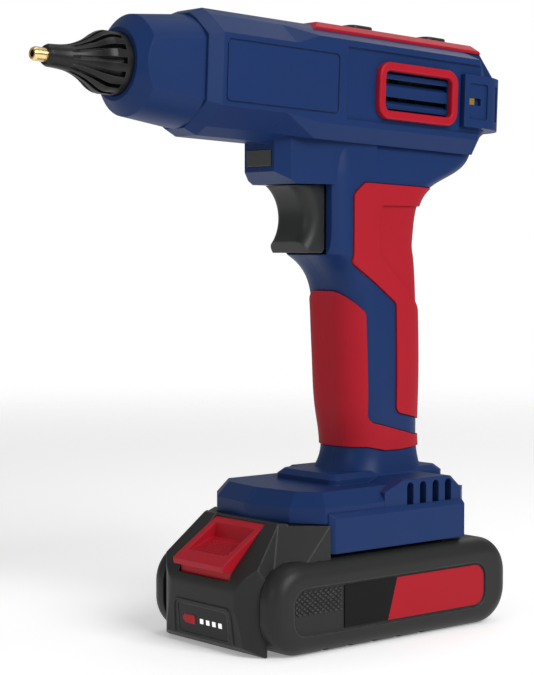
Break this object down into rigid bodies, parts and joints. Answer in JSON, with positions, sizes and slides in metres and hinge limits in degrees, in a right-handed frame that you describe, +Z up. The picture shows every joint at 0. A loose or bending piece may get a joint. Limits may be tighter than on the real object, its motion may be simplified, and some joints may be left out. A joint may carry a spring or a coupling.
{
  "type": "cordless glue gun",
  "caption": "Cordless hot glue gun with a brass nozzle in a ribbed boot, a sliding trigger that feeds the glue stick, push buttons on top and a slide-on battery pack.",
  "frame": {"origin": "on the rest face under the battery pack, in the middle plane of the tool, below the handle", "axes": "+X towards the nozzle, +Y to the left side of the tool, +Z up"},
  "size_m": [0.2151, 0.074, 0.2311],
  "materials": {
    "blue_plastic": "fine-grained navy moulded plastic",
    "red_plastic": "satin red moulded plastic",
    "red_rubber": "soft red overmoulded rubber",
    "black_plastic": "fine-grained black moulded plastic",
    "black_rubber": "matt black heat-proof rubber",
    "brass": "turned brass",
    "aluminium": "cast aluminium",
    "steel": "bright steel",
    "dark_plastic": "dark grey heat-proof plastic",
    "silicone": "soft red-brown silicone",
    "board": "green circuit board",
    "smoked_lens": "smoked clear plastic",
    "gauge_black": "gloss black window",
    "white_lamp": "white translucent plastic",
    "label": "bare two-colour label, black in front and red behind"
  },
  "bodies": {
    "tool": {"cap_catches": "brass", "control_board": "board", "front_grip_left": "red_rubber", "front_grip_right": "red_rubber", "front_holder": "dark_plastic", "guide_channel": "dark_plastic", "heater_plates": "dark_plastic", "housing_left": "blue_plastic", "housing_right": "blue_plastic", "housing_screws": "steel", "indicator_lenses": "white_lamp", "light_board": "board", "light_lens": "smoked_lens", "melt_chamber": "aluminium", "nose_collar": "blue_plastic", "nozzle": "brass", "nozzle_boot": "black_rubber", "rear_cap": "blue_plastic", "rear_grip_left": "red_rubber", "rear_grip_right": "red_rubber", "rear_holder": "dark_plastic", "rocker_pin": "steel", "stick_sleeve": "silicone", "terminal_blades": "brass", "terminal_block": "black_plastic", "thermostat": "steel", "top_cover": "red_plastic", "trigger_spring": "steel", "vent_frame_left": "red_plastic", "vent_frame_right": "red_plastic"},
    "trigger": {"trigger": "black_plastic", "trigger_pin": "steel"},
    "rocker": {"rocker": "steel"},
    "carriage": {"carriage": "dark_plastic", "gripper_pin": "steel", "gripper_spring": "steel"},
    "gripper": {"gripper": "steel"},
    "front_button": {"front_button": "black_plastic"},
    "rear_button": {"rear_button": "black_plastic"},
    "battery": {"pack_tray": "black_plastic", "pack_head": "black_plastic", "gauge_window": "gauge_black", "gauge_symbol": "red_plastic", "gauge_lights": "white_lamp", "side_label_left": "label", "side_label_right": "label", "cells": "steel", "cell_holders": "dark_plastic", "pack_board": "board", "pack_contacts": "brass", "pack_screws": "steel", "release_spring": "steel"},
    "release_button": {"release_button": "red_plastic"}
  },
  "joints": [
    {"name": "trigger_slide", "type": "slide", "parent": "tool", "child": "trigger", "axis": [-1, 0, 0], "range_m": [0, 0.009], "stiffness_N_per_m": 400, "springref_m": -0.01, "deforming": ["trigger_spring"]},
    {"name": "rocker_pivot", "type": "hinge", "parent": "tool", "child": "rocker", "pos_m": [-0.002, 0, 0.183], "axis": [0, 1, 0], "range_deg": [0, 22.15]},
    {"name": "carriage_slide", "type": "slide", "parent": "tool", "child": "carriage", "axis": [0.9991, 0, 0.0419], "range_m": [0, 0.00881]},
    {"name": "gripper_pivot", "type": "hinge", "parent": "carriage", "child": "gripper", "pos_m": [-0.01577, 0, 0.21545], "axis": [0, -1, 0], "range_deg": [0, 12], "stiffness_Nm_per_rad": 0.05, "springref_deg": -11.46},
    {"name": "front_button_press", "type": "slide", "parent": "tool", "child": "front_button", "axis": [0.0419, 0, -0.9991], "range_m": [0, 0.0008], "stiffness_N_per_m": 1500, "springref_m": -0.0005},
    {"name": "rear_button_press", "type": "slide", "parent": "tool", "child": "rear_button", "axis": [0.0419, 0, -0.9991], "range_m": [0, 0.0008], "stiffness_N_per_m": 1500, "springref_m": -0.0005},
    {"name": "pack_slide", "type": "slide", "parent": "tool", "child": "battery", "axis": [1, 0, 0], "range_m": [0, 0.09]},
    {"name": "pack_release_press", "type": "slide", "parent": "battery", "child": "release_button", "axis": [0, 0, -1], "range_m": [0, 0.003], "stiffness_N_per_m": 800, "springref_m": -0.003, "deforming": ["release_spring"]}
  ],
  "couplings": [
    {"joint": "rocker_pivot", "follows": "trigger_slide", "rad_per_m": 42.936},
    {"joint": "carriage_slide", "follows": "trigger_slide", "ratio": 0.97811}
  ]
}
